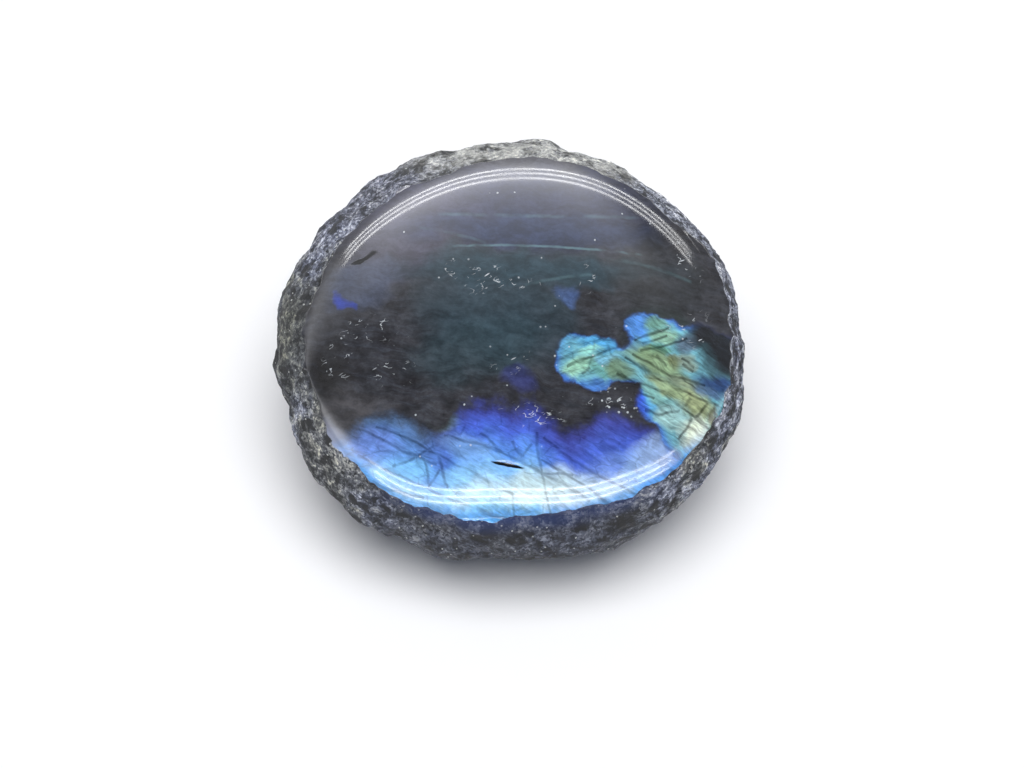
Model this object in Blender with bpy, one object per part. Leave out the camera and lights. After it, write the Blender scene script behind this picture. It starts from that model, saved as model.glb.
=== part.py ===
"""A labradorite stone the shape of a squat egg, with one low domed face polished across its top.

The stone is a single natural piece, so it is one object, about 80 mm wide. It stands on a small
worn flat, and its polished face leans forward, towards -Y. The origin is on the table, under the
middle of the stone. Run it with: blender --background --python part.py
"""

import bisect
import math

import bmesh
import bpy
from mathutils import Matrix, Vector, noise

MM = 0.001

# Driving dimensions, in millimetres and degrees
FACE_LEAN = 22.0  # how far the polished face leans forward from level
GIRTH_HEIGHT = 27.0  # middle of the girth, the widest loop round the stone, above the table
FACE_RISE = 9.5  # from the girth up to the edge of the polish, along the face's axis
CROWN = 2.6  # the face's slow dome, centre to edge
SHOULDER = 3.3  # the extra roll-off in the last few millimetres before the edge
FOOT_BACK = 5.0  # the lowest point lies this far behind the middle of the girth
FOOT_WORN = 1.6  # how much of the round underside is worn flat

# Distance from the face's axis in millimetres, at compass angles in degrees seen square on to the
# face: 0 is to the right and 90 is up the slope of the face
GIRTH = (
    (0, 39.7), (30, 37.4), (60, 35.8), (90, 35.3), (120, 35.9), (150, 37.2), (175, 38.8),
    (195, 38.4), (225, 37.2), (250, 35.9), (275, 35.6), (300, 37.5), (330, 39.4), (345, 40.0),
)
POLISH_EDGE = (
    (0, 37.2), (30, 33.9), (60, 31.8), (90, 29.9), (120, 29.6), (150, 31.1), (180, 32.8),
    (210, 32.9), (240, 33.3), (270, 31.2), (300, 34.3), (320, 36.9), (345, 38.2),
)

# How the skin curves, as plain numbers
SHOULDER_POWER = 8  # a higher one keeps the roll-off closer to the edge of the polish
WALL_POWER = 1.7  # a higher one lets the wall bulge out sooner below the polish
BELLY_FULLNESS = 0.60  # 0 is a cone down to the lowest point, and 1 is a barrel
BACK_PLUMB = 0.7  # how much the back of the belly hangs plumb instead of along the face's axis

# The broken skin: the size of each kind of relief along the surface, and how far it stands
LUMP, LUMP_HEIGHT = 16.0, 1.0
CHIP, CHIP_SLOPE = 9.0, 0.12
LEDGE = 0.22  # the ledge between two chips, as a share of a chip
PIT, PIT_DEPTH = 3.6, 0.6
BELLY_ROUGHER = 0.6  # the relief grows by this share from the girth down to the belly
BELLY_START = 12.0  # and has done so this far below the girth
FOOT_MARGIN = 3.0  # the relief dies away over this height above the table
CHIP_SEED = 91.7  # picks which way each chip leans

# The mesh: points round the axis, and rings over the face, down the wall and under the belly
AROUND = 104
FACE_RINGS, WALL_RINGS, BELLY_RINGS = 9, 6, 29
RING_CROWDING = 1.5  # crowds the rings of the face towards its edge
SHARP_ANGLE = 40.0  # edges of the skin that turn more than this stay sharp

LEAN = Matrix.Rotation(math.radians(FACE_LEAN), 3, "X")
FACE_AXIS = LEAN @ Vector((0, 0, 1))
GIRTH_MIDDLE = Vector((0, 0, GIRTH_HEIGHT))
LOWEST = Vector((0, FOOT_BACK, -FOOT_WORN))


def outline_radius(marks, angle):
    """The radius of a closed outline at an angle in radians, on a smooth curve through its marks."""
    turn = math.degrees(angle) % 360
    here = bisect.bisect_right([mark[0] for mark in marks], turn) - 1
    near = []
    for step in (-1, 0, 1, 2):
        lap, index = divmod(here + step, len(marks))
        near.append((marks[index][0] + 360 * lap, marks[index][1]))
    (a0, r0), (a1, r1), (a2, r2), (a3, r3) = near
    gap = a2 - a1
    start_slope = (r2 - r0) / (a2 - a0) * gap
    end_slope = (r3 - r1) / (a3 - a1) * gap
    t = (turn - a1) / gap
    return (
        (2 * t**3 - 3 * t**2 + 1) * r1
        + (t**3 - 2 * t**2 + t) * start_slope
        + (3 * t**2 - 2 * t**3) * r2
        + (t**3 - t**2) * end_slope
    )


def on_face_frame(angle, radius, rise):
    """A place given by its angle and distance round the face's axis, and its rise above the girth."""
    across = Vector((radius * math.cos(angle), radius * math.sin(angle), rise))
    return GIRTH_MIDDLE + LEAN @ across


def face_point(angle, share):
    """On the polished dome, from its middle at share 0 to its edge at share 1."""
    dome = CROWN * (1 - share**2) + SHOULDER * (1 - share**SHOULDER_POWER)
    return on_face_frame(angle, share * outline_radius(POLISH_EDGE, angle), FACE_RISE + dome)


def wall_point(angle, share):
    """On the steep broken wall, from the edge of the polish at share 0 to the girth at share 1."""
    top = outline_radius(POLISH_EDGE, angle)
    spread = 1 - (1 - share) ** WALL_POWER
    radius = top + (outline_radius(GIRTH, angle) - top) * spread
    return on_face_frame(angle, radius, FACE_RISE * (1 - share))


def belly_point(angle, share):
    """Under the girth, from the girth at share 0 to the lowest point at share 1, on a Bezier curve."""
    girth = on_face_frame(angle, outline_radius(GIRTH, angle), 0)
    towards_back = 0.5 + 0.5 * math.sin(angle)
    fall = (-FACE_AXIS).lerp(Vector((0, 0, -1)), BACK_PLUMB * towards_back).normalized()
    outward = Vector((girth.x - LOWEST.x, girth.y - LOWEST.y, 0))
    below_girth = girth + fall * (girth.z - LOWEST.z) * BELLY_FULLNESS
    beside_lowest = LOWEST + outward * BELLY_FULLNESS
    t, s = share, 1 - share
    return s**3 * girth + 3 * s**2 * t * below_girth + 3 * s * t**2 * beside_lowest + t**3 * LOWEST


def skin_point(angle, ring):
    """The place on the smooth stone of a point at this angle on this ring, counted from the face."""
    if ring <= FACE_RINGS:
        return face_point(angle, 1 - (1 - ring / FACE_RINGS) ** RING_CROWDING)
    if ring <= FACE_RINGS + WALL_RINGS:
        return wall_point(angle, (ring - FACE_RINGS) / WALL_RINGS)
    return belly_point(angle, (ring - FACE_RINGS - WALL_RINGS) / BELLY_RINGS)


def chips(place):
    """Flat chips that each lean their own way, with a short ledge where two of them meet."""
    distances, seeds = noise.voronoi(place / CHIP)
    weights = [max(0, 1 - (distance - distances[0]) / LEDGE) for distance in distances]
    height = 0
    for weight, seed in zip(weights, seeds):
        slope = noise.cell_vector(seed * CHIP_SEED) * 2 - Vector((1, 1, 1))
        height += weight * slope.dot(place - seed * CHIP) * CHIP_SLOPE
    return height / sum(weights)


def relief(place):
    """How far the broken skin stands off the smooth stone at a place, in millimetres."""
    lumps = noise.fractal(place / LUMP, 1.0, 2.0, 2) * LUMP_HEIGHT
    pits = -abs(noise.noise(place / PIT)) * PIT_DEPTH
    below_girth = FACE_AXIS.dot(GIRTH_MIDDLE - place) / BELLY_START
    rougher = 1 + BELLY_ROUGHER * max(0, min(1, below_girth))
    clear_of_foot = max(0, min(1, place.z / FOOT_MARGIN))
    return (lumps + chips(place) + pits) * rougher * clear_of_foot


def make_skin():
    """A sphere whose every point is moved out to the stone, then broken up below the polish."""
    skin = bmesh.new()
    rings = FACE_RINGS + WALL_RINGS + BELLY_RINGS
    bmesh.ops.create_uvsphere(skin, u_segments=AROUND, v_segments=rings, radius=1)
    ring_of = {}
    for vert in skin.verts:
        ring = round(math.acos(max(-1, min(1, vert.co.z))) / math.pi * rings)
        ring_of[vert] = ring
        vert.co = skin_point(math.atan2(vert.co.y, vert.co.x), ring)
    bmesh.ops.recalc_face_normals(skin, faces=skin.faces)
    skin.normal_update()
    moves = [
        (vert, vert.normal * relief(vert.co))
        for vert, ring in ring_of.items()
        if ring > FACE_RINGS
    ]
    for vert, move in moves:
        vert.co += move
    return skin


def wear_foot(skin):
    """Cuts the underside off flat at the table."""
    everything = skin.verts[:] + skin.edges[:] + skin.faces[:]
    cut = bmesh.ops.bisect_plane(
        skin, geom=everything, plane_co=(0, 0, 0), plane_no=(0, 0, -1), clear_outer=True
    )
    rim = [part for part in cut["geom_cut"] if isinstance(part, bmesh.types.BMEdge)]
    bmesh.ops.holes_fill(skin, edges=rim, sides=0)
    bmesh.ops.recalc_face_normals(skin, faces=skin.faces)


def centre_on_box(skin):
    """Slides the stone along the table until the origin is under the middle of its box."""
    for axis in (0, 1):
        values = [vert.co[axis] for vert in skin.verts]
        middle = (min(values) + max(values)) / 2
        for vert in skin.verts:
            vert.co[axis] -= middle


def stone_material():
    """Dark bluish feldspar with a soft polish."""
    material = bpy.data.materials.new("labradorite")
    material.use_nodes = True
    shader = material.node_tree.nodes["Principled BSDF"]
    shader.inputs["Base Color"].default_value = (0.10, 0.14, 0.22, 1)
    shader.inputs["Roughness"].default_value = 0.35
    shader.inputs["Metallic"].default_value = 0.0
    return material


def make_stone():
    """The whole stone as one object."""
    skin = make_skin()
    wear_foot(skin)
    centre_on_box(skin)
    bmesh.ops.scale(skin, vec=(MM, MM, MM), verts=skin.verts)
    mesh = bpy.data.meshes.new("stone")
    skin.to_mesh(mesh)
    skin.free()
    mesh.shade_smooth()
    mesh.set_sharp_from_angle(angle=math.radians(SHARP_ANGLE))
    stone = bpy.data.objects.new("stone", mesh)
    stone.data.materials.append(stone_material())
    bpy.context.scene.collection.objects.link(stone)
    return stone


for leftover in list(bpy.data.objects):
    bpy.data.objects.remove(leftover)
make_stone()
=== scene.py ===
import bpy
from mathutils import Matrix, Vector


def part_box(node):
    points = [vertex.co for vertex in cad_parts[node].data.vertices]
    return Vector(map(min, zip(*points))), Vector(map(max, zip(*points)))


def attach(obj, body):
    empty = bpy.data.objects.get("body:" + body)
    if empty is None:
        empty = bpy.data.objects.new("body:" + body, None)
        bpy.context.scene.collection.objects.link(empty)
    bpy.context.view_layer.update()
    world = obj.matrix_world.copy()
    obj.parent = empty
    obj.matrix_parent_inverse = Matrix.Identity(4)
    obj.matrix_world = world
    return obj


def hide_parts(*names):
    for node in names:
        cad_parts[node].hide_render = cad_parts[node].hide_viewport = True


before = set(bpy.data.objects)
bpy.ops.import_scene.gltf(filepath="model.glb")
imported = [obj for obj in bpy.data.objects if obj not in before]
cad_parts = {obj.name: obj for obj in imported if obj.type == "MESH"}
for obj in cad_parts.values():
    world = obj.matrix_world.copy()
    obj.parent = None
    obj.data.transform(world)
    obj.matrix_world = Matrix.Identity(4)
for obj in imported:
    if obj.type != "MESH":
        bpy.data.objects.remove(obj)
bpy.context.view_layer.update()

# %% [markdown]
# # A labradorite stone with one polished face
#
# The real object is one natural piece: a squat egg of dark feldspar, left as it broke on its sides
# and underside, and ground to a low dome and polished on top. Under the polish, thin layers inside
# the feldspar throw back blue, green and gold light.
#
# The lesson goes from the studio to the stone's shape, and then to its finish, one layer at a time.
# Lengths are in millimetres until a mesh is done, because a stone of 80 mm is easier to think about
# that way. One factor turns them into Blender's metres.

# %% Tools and units
import bisect
import functools
import math

import bmesh
import bpy
from mathutils import Matrix, Vector, noise

MM = 0.001


def srgb(red, green, blue):
    """A colour from its 0 to 255 values, as a picture editor shows it, turned into linear light."""
    shares = (red / 255, green / 255, blue / 255)
    linear = [s / 12.92 if s <= 0.04045 else ((s + 0.055) / 1.055) ** 2.4 for s in shares]
    return (*linear, 1)


scene = bpy.context.scene
scene.view_settings.view_transform = "Standard"
print("one unit is", 1 / MM, "mm")

# %% [markdown]
# ## The camera
#
# The photograph looks down on the stone from about 56 degrees above the table. A long lens from
# half a metre away keeps the outline free of perspective, as a product photographer would.

# %% Camera
CAMERA_ELEVATION = 56.0
CAMERA_DISTANCE = 0.55
CAMERA_LENS = 116.4
CAMERA_TARGET = Vector((0.0006, -0.0031, 0.0212))

camera_data = bpy.data.cameras.new("camera")
camera_data.sensor_width = 36
camera_data.lens = CAMERA_LENS
camera = bpy.data.objects.new("camera", camera_data)
climb = math.radians(CAMERA_ELEVATION)
away = Vector((0, -math.cos(climb), math.sin(climb)))
camera.location = CAMERA_TARGET + away * CAMERA_DISTANCE
camera.rotation_euler = away.to_track_quat("Z", "Y").to_euler()
scene.collection.objects.link(camera)
scene.camera = camera
print("camera at", [round(value, 3) for value in camera.location])

# %% [markdown]
# ## The table and the light
#
# The stone sits on a plain white table inside a white light box. A polished dome mirrors nearly the
# whole box, so the box matters more than the lamps. Here the world is the box: its brightness follows
# one angle, which goes from the horizon in front, over the top, to the horizon behind. It is dim
# where the camera looks in, bright towards the back, and has one low band of light in front.

# %% Table
TABLE_SIZE = 3.0
TABLE_WHITE = 0.93

slab = bmesh.new()
bmesh.ops.create_grid(slab, x_segments=1, y_segments=1, size=TABLE_SIZE / 2)
table_mesh = bpy.data.meshes.new("table")
slab.to_mesh(table_mesh)
slab.free()
table = bpy.data.objects.new("table", table_mesh)
scene.collection.objects.link(table)
paint = bpy.data.materials.new("white_table")
paint.use_nodes = True
paint_shader = paint.node_tree.nodes["Principled BSDF"]
paint_shader.inputs["Base Color"].default_value = (TABLE_WHITE, TABLE_WHITE, TABLE_WHITE, 1)
paint_shader.inputs["Roughness"].default_value = 0.9
paint_shader.inputs["Specular IOR Level"].default_value = 0.1
table.data.materials.append(paint)
print("table", TABLE_SIZE, "m across")

# %% [markdown]
# ## Small helpers for shader nodes
#
# The light box and the stone's finish are both node trees. Each node that they use could be added and
# linked by hand, in three or four lines. These helpers say it in one, so that a step below reads like
# the sum or the mix that it stands for.

# %% Helpers for shader nodes


def node(tree, kind, **settings):
    """Adds a node and sets the choices that it shows as menus."""
    made = tree.nodes.new(kind)
    for name, value in settings.items():
        setattr(made, name, value)
    return made


def feed(tree, socket, value):
    """Joins a socket to another node's output, or types a plain value into it."""
    if isinstance(value, bpy.types.NodeSocket):
        tree.links.new(value, socket)
    else:
        socket.default_value = value


def maths(tree, operation, *values):
    """One Math node."""
    made = node(tree, "ShaderNodeMath", operation=operation)
    for socket, value in zip(made.inputs, values):
        feed(tree, socket, value)
    return made.outputs[0]


def remap(tree, value, low, high, to_low=0.0, to_high=1.0, curve="SMOOTHSTEP"):
    """A Map Range node: low becomes to_low and high becomes to_high, with soft ends."""
    made = node(tree, "ShaderNodeMapRange", interpolation_type=curve)
    for name, plug in (
        ("Value", value), ("From Min", low), ("From Max", high), ("To Min", to_low), ("To Max", to_high)
    ):
        feed(tree, made.inputs[name], plug)
    return made.outputs["Result"]


def mix(tree, share, first, second, how="MIX"):
    """Mixes two colours: share 0 is the first and share 1 the second."""
    made = node(tree, "ShaderNodeMix", data_type="RGBA", blend_type=how)
    feed(tree, made.inputs[0], share)
    feed(tree, made.inputs[6], first)
    feed(tree, made.inputs[7], second)
    return made.outputs[2]


def ramp(tree, value, *stops):
    """A Color Ramp through (position, colour) stops."""
    made = node(tree, "ShaderNodeValToRGB")
    feed(tree, made.inputs[0], value)
    band = made.color_ramp
    while len(band.elements) > 1:
        band.elements.remove(band.elements[0])
    band.elements[0].position = stops[0][0]
    band.elements[0].color = stops[0][1]
    for position, colour in stops[1:]:
        band.elements.new(position).color = colour
    return made.outputs[0]


print("node helpers ready")

# %% [markdown]
# ## What the dome mirrors
#
# The world answers two kinds of ray. A glossy ray sees the bright and dark bands of the box, which
# show as the soft highlights of the polish. Every other ray sees a dim fill that is nearly even, so
# the bands can be tuned without changing how the table and the rough skin are lit.

# %% World
FILL = 0.22
GLASS_STRENGTH = 6.0
LEFT_WALL, LEFT_WALL_SHARE = (-0.30, -0.72), 0.75
RIGHT_WALL = (0.16, 0.50)
WALLS_START, WALLS_FULL, WALL_LEVEL = 0.22, 0.38, 0.07

world = bpy.data.worlds.new("light_box")
scene.world = world
world.use_nodes = True
box = world.node_tree
heading = node(box, "ShaderNodeTexCoord").outputs["Generated"]
parts = node(box, "ShaderNodeSeparateXYZ")
feed(box, parts.inputs[0], heading)
forward = maths(box, "MULTIPLY", parts.outputs["Y"], -1)
turned = maths(box, "ARCTAN2", parts.outputs["Z"], forward)
half_turns = maths(box, "DIVIDE", turned, math.pi)


def grey(level):
    """A slightly cool grey light."""
    return (level, level * 1.01, level * 1.05, 1)


mirrored = ramp(
    box, half_turns,
    (0.00, grey(0.04)), (0.03, grey(0.26)), (0.06, grey(0.58)), (0.13, grey(0.52)),
    (0.19, grey(0.14)), (0.26, grey(0.03)), (0.35, grey(0.01)), (0.455, grey(0.01)),
    (0.490, grey(0.10)), (0.53, grey(0.32)), (0.60, grey(0.55)), (0.68, grey(0.84)),
    (0.73, grey(1.00)), (0.80, grey(0.85)), (0.86, grey(0.52)), (0.92, grey(0.26)), (1.00, grey(0.12)),
)
left_wall = remap(box, parts.outputs["X"], *LEFT_WALL)
right_wall = remap(box, parts.outputs["X"], *RIGHT_WALL)
walls = maths(box, "MULTIPLY_ADD", left_wall, LEFT_WALL_SHARE, right_wall)
walls = maths(box, "MULTIPLY", walls, remap(box, half_turns, WALLS_START, WALLS_FULL))
mirrored = mix(box, walls, mirrored, grey(WALL_LEVEL))
fill_in_front = (FILL * 0.9, FILL, FILL * 1.25, 1)
fill_behind = (FILL, FILL, FILL * 1.1, 1)
scattered = mix(box, remap(box, parts.outputs["Y"], -1, 1), fill_in_front, fill_behind)
strong = node(box, "ShaderNodeBackground")
strong.inputs["Strength"].default_value = GLASS_STRENGTH
feed(box, strong.inputs["Color"], mirrored)
soft = box.nodes["Background"]
feed(box, soft.inputs["Color"], scattered)
soft.inputs["Strength"].default_value = 1.0
choice = node(box, "ShaderNodeMixShader")
feed(box, choice.inputs[0], node(box, "ShaderNodeLightPath").outputs["Is Glossy Ray"])
feed(box, choice.inputs[1], soft.outputs[0])
feed(box, choice.inputs[2], strong.outputs[0])
feed(box, box.nodes["World Output"].inputs["Surface"], choice.outputs[0])
print(len(box.nodes), "nodes in the light box")

# %% [markdown]
# ## Light bars and the key
#
# Two sets of thin tubes run across the box. The polish shows each one as a soft streak, so they are
# lamps that only glossy rays see. The shadow under the stone comes from one broad lamp nearly
# overhead, here a sun with a wide angle, which the polish doesn't mirror.

# %% Lamps
BAR_LENGTH = 0.95
BAR_WIDTH = 0.014
BAR_DISTANCE = 0.45
BACK_BARS = (131.0, 139.0, 147.0)
FRONT_BARS = (8.0, 17.0, 26.0)
BAR_POWER = 0.76
FRONT_BAR_SHARE = 0.85
BOX_MIDDLE = Vector((0, 0, 0.03))


def bar(name, angle, power):
    """A thin lamp across the box, at an angle that climbs from the front horizon over the top."""
    data = bpy.data.lights.new(name, "AREA")
    data.shape = "RECTANGLE"
    data.size = BAR_LENGTH
    data.size_y = BAR_WIDTH
    data.energy = power
    made = bpy.data.objects.new(name, data)
    turn = math.radians(angle)
    out = Vector((0, -math.cos(turn), math.sin(turn)))
    made.location = BOX_MIDDLE + out * BAR_DISTANCE
    made.rotation_euler = out.to_track_quat("Z", "Y").to_euler()
    made.visible_diffuse = False
    scene.collection.objects.link(made)


for number, angle in enumerate(BACK_BARS):
    bar(f"back_bar_{number}", angle, BAR_POWER)
for number, angle in enumerate(FRONT_BARS):
    bar(f"front_bar_{number}", angle, BAR_POWER * FRONT_BAR_SHARE)
KEY_SIDE, KEY_FRONT, KEY_WIDTH, KEY_STRENGTH = 0.02, 0.15, 46.0, 2.84
key_data = bpy.data.lights.new("key", "SUN")
key_data.angle = math.radians(KEY_WIDTH)
key_data.energy = KEY_STRENGTH
key = bpy.data.objects.new("key", key_data)
key.rotation_euler = Vector((KEY_SIDE, -KEY_FRONT, 1)).to_track_quat("Z", "Y").to_euler()
key.visible_glossy = False
scene.collection.objects.link(key)
print(len(BACK_BARS) + len(FRONT_BARS), "light bars")

# %% [markdown]
# ## The stone's shape
#
# The shape is a sphere whose points are moved out to the stone. Seen square on to the polished face,
# two closed outlines hold it: the girth, which is the widest loop, and the edge of the polish above
# it. A few marks round each outline, joined by a smooth curve, are enough for such a worn shape.

# %% The smooth stone
FACE_LEAN = 22.0  # how far the polished face leans forward from level, in degrees
GIRTH_HEIGHT = 27.0  # middle of the girth above the table
FACE_RISE = 9.5  # from the girth up to the edge of the polish, along the face's axis
CROWN = 2.6  # the face's slow dome, centre to edge
SHOULDER = 3.3  # the extra roll-off in the last few millimetres before the edge
FOOT_BACK = 5.0  # the lowest point lies this far behind the middle of the girth
FOOT_WORN = 1.6  # how much of the round underside is worn flat

# Distance from the face's axis at compass angles: 0 is to the right and 90 is up the slope
GIRTH = (
    (0, 39.7), (30, 37.4), (60, 35.8), (90, 35.3), (120, 35.9), (150, 37.2), (175, 38.8),
    (195, 38.4), (225, 37.2), (250, 35.9), (275, 35.6), (300, 37.5), (330, 39.4), (345, 40.0),
)
POLISH_EDGE = (
    (0, 36.6), (30, 33.9), (60, 31.8), (90, 29.9), (120, 29.6), (150, 31.1), (180, 32.8),
    (210, 32.7), (240, 32.6), (270, 30.0), (300, 32.7), (320, 35.1), (345, 36.9),
)
SHOULDER_POWER = 8  # a higher one keeps the roll-off closer to the edge of the polish
WALL_POWER = 1.7  # a higher one lets the wall bulge out sooner below the polish
BELLY_FULLNESS = 0.60  # 0 is a cone down to the lowest point, and 1 is a barrel
BACK_PLUMB = 0.7  # how much the back of the belly hangs plumb instead of along the face's axis

LEAN = Matrix.Rotation(math.radians(FACE_LEAN), 3, "X")
FACE_AXIS = LEAN @ Vector((0, 0, 1))
GIRTH_MIDDLE = Vector((0, 0, GIRTH_HEIGHT))
LOWEST = Vector((0, FOOT_BACK, -FOOT_WORN))


@functools.lru_cache(maxsize=None)
def outline_radius(marks, angle):
    """The radius of a closed outline at an angle in radians, on a smooth curve through its marks."""
    turn = math.degrees(angle) % 360
    here = bisect.bisect_right([mark[0] for mark in marks], turn) - 1
    near = []
    for step in (-1, 0, 1, 2):
        lap, index = divmod(here + step, len(marks))
        near.append((marks[index][0] + 360 * lap, marks[index][1]))
    (a0, r0), (a1, r1), (a2, r2), (a3, r3) = near
    gap = a2 - a1
    start_slope = (r2 - r0) / (a2 - a0) * gap
    end_slope = (r3 - r1) / (a3 - a1) * gap
    t = (turn - a1) / gap
    return (
        (2 * t**3 - 3 * t**2 + 1) * r1
        + (t**3 - 2 * t**2 + t) * start_slope
        + (3 * t**2 - 2 * t**3) * r2
        + (t**3 - t**2) * end_slope
    )


def on_face_frame(angle, radius, rise):
    """A place given by its angle and distance round the face's axis, and its rise above the girth."""
    across = Vector((radius * math.cos(angle), radius * math.sin(angle), rise))
    return GIRTH_MIDDLE + LEAN @ across


def face_point(angle, share):
    """On the polished dome, from its middle at share 0 to its edge at share 1."""
    dome = CROWN * (1 - share**2) + SHOULDER * (1 - share**SHOULDER_POWER)
    return on_face_frame(angle, share * outline_radius(POLISH_EDGE, angle), FACE_RISE + dome)


def wall_point(angle, share):
    """On the steep broken wall, from the edge of the polish at share 0 to the girth at share 1."""
    top = outline_radius(POLISH_EDGE, angle)
    spread = 1 - (1 - share) ** WALL_POWER
    radius = top + (outline_radius(GIRTH, angle) - top) * spread
    return on_face_frame(angle, radius, FACE_RISE * (1 - share))


def belly_point(angle, share):
    """Under the girth, from the girth at share 0 to the lowest point at share 1, on a Bezier curve."""
    girth = on_face_frame(angle, outline_radius(GIRTH, angle), 0)
    towards_back = 0.5 + 0.5 * math.sin(angle)
    fall = (-FACE_AXIS).lerp(Vector((0, 0, -1)), BACK_PLUMB * towards_back).normalized()
    outward = Vector((girth.x - LOWEST.x, girth.y - LOWEST.y, 0))
    below_girth = girth + fall * (girth.z - LOWEST.z) * BELLY_FULLNESS
    beside_lowest = LOWEST + outward * BELLY_FULLNESS
    t, s = share, 1 - share
    return s**3 * girth + 3 * s**2 * t * below_girth + 3 * s * t**2 * beside_lowest + t**3 * LOWEST


print("girth", len(GIRTH), "marks, edge of the polish", len(POLISH_EDGE), "marks")

# %% [markdown]
# ## The relief of the broken skin
#
# Feldspar splits along flat planes, so a broken side is made of flat chips that lean every way, with
# short ledges between them, over slower lumps and with small pits. Noise from the mathutils module
# gives the lumps, pits and crumbs, and its Voronoi cells give the chips: each cell is a plane with its
# own slope. Real relief, and not a bump in the material, keeps the outline of the stone rough as well.

# %% Relief
LUMP, LUMP_HEIGHT = 16.0, 1.0
CHIP, CHIP_SLOPE = 9.0, 0.12
LEDGE = 0.22  # the ledge between two chips, as a share of a chip
PIT, PIT_DEPTH = 3.6, 0.6
BELLY_ROUGHER = 0.6  # the relief grows by this share from the girth down to the belly
BELLY_START = 12.0  # and has done so this far below the girth
FOOT_MARGIN = 3.0  # the relief dies away over this height above the table
CHIP_SEED = 91.7  # picks which way each chip leans
CRUMB, CRUMB_HEIGHT = 1.5, 0.20
GRIT, GRIT_HEIGHT = 0.7, 0.12
SMALL_CHIP, SMALL_CHIP_SLOPE = 2.8, 0.10


def chips(place, size, slope_size):
    """Flat chips that each lean their own way, with a short ledge where two of them meet."""
    distances, seeds = noise.voronoi(place / size)
    weights = [max(0, 1 - (distance - distances[0]) / LEDGE) for distance in distances]
    height = 0
    for weight, seed in zip(weights, seeds):
        slope = noise.cell_vector(seed * CHIP_SEED) * 2 - Vector((1, 1, 1))
        height += weight * slope.dot(place - seed * size) * slope_size
    return height / sum(weights)


def relief(place):
    """How far the broken skin stands off the smooth stone at a place, in millimetres."""
    lumps = noise.fractal(place / LUMP, 1.0, 2.0, 2) * LUMP_HEIGHT
    pits = -abs(noise.noise(place / PIT)) * PIT_DEPTH
    below_girth = FACE_AXIS.dot(GIRTH_MIDDLE - place) / BELLY_START
    rougher = 1 + BELLY_ROUGHER * max(0, min(1, below_girth))
    clear_of_foot = max(0, min(1, place.z / FOOT_MARGIN))
    coarse = (lumps + chips(place, CHIP, CHIP_SLOPE) + pits) * rougher
    fine = noise.noise(place / CRUMB) * CRUMB_HEIGHT + noise.noise(place / GRIT) * GRIT_HEIGHT
    fine += chips(place, SMALL_CHIP, SMALL_CHIP_SLOPE)
    return (coarse + fine) * clear_of_foot


print("relief at the girth", round(relief(wall_point(0, 1)), 2), "mm")

# %% [markdown]
# ## The stone's mesh
#
# A stone is broken first and polished afterwards, and the mesh is made the same way. Past the edge of
# the face the broken skin is raised on the smooth stone, and the polish then takes off what stands
# above its own slow curve, so their border wanders as it does on a ground stone. Each point keeps two
# values for its finish: reach, how far past the edge of the polish it lies, and broken, how far the
# skin there dips below the polish.

# %% Rings and the slit
COARSER = 1
AROUND = 480 // COARSER
FACE_RINGS, WALL_RINGS, BELLY_RINGS = 70 // COARSER, 44 // COARSER, 110 // COARSER
RING_CROWDING = 1.5
POLISH_RISE = 1.1  # how fast the polish leaves the smooth stone past its edge
WHOLE_POLISH = -6.0  # further in than this, the polish is whole
BROKEN_LIMIT = 3.0
SLIT_MIDDLE, SLIT_HALF, SLIT_TURN, SLIT_DEPTH = (0.2, -22.2), (3.0, 0.42), -11.0, 0.35


def skin_point(angle, ring):
    """A place on the smooth stone, and how many millimetres past the edge of the polish it is."""
    if ring <= FACE_RINGS:
        share = 1 - (1 - ring / FACE_RINGS) ** RING_CROWDING
        return face_point(angle, share), (share - 1) * outline_radius(POLISH_EDGE, angle)
    if ring <= FACE_RINGS + WALL_RINGS:
        share = (ring - FACE_RINGS) / WALL_RINGS
        return wall_point(angle, share), share * FACE_RISE
    share = (ring - FACE_RINGS - WALL_RINGS) / BELLY_RINGS
    return belly_point(angle, share), (1 + share) * FACE_RISE


def slit(place):
    """The depth of the small open crack at a place."""
    across = LEAN.transposed() @ (place - GIRTH_MIDDLE)
    turn = math.radians(SLIT_TURN)
    dx, dy = across.x - SLIT_MIDDLE[0], across.y - SLIT_MIDDLE[1]
    along = (dx * math.cos(turn) + dy * math.sin(turn)) / SLIT_HALF[0]
    beside = (dy * math.cos(turn) - dx * math.sin(turn)) / SLIT_HALF[1]
    room = 1 - along**2
    return SLIT_DEPTH * max(0, 1 - (abs(beside) / room) ** 2) if room > 0 else 0


print(AROUND, "points round, on", FACE_RINGS + WALL_RINGS + BELLY_RINGS, "rings")

# %% [markdown]
# ## A flat map for baking
#
# The finish can be baked to a picture, for programs that don't run Blender's nodes. That takes a map
# in which no two faces overlap, so the face and its wall are laid out as a disc, the belly as a strip,
# and the foot beside them.

# %% The flat map
FLAT = 1.0e-4
MAP_DISC_MIDDLE, MAP_DISC_WIDTH = 0.385, 130.0
MAP_FOOT_X, MAP_FOOT_Y, MAP_FOOT_WIDTH = 0.88, 0.35, 160.0
MAP_STRIP_LOW, MAP_STRIP_HEIGHT, MAP_STRIP_HALF_LENGTH = 0.77, 0.22, 0.48


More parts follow.
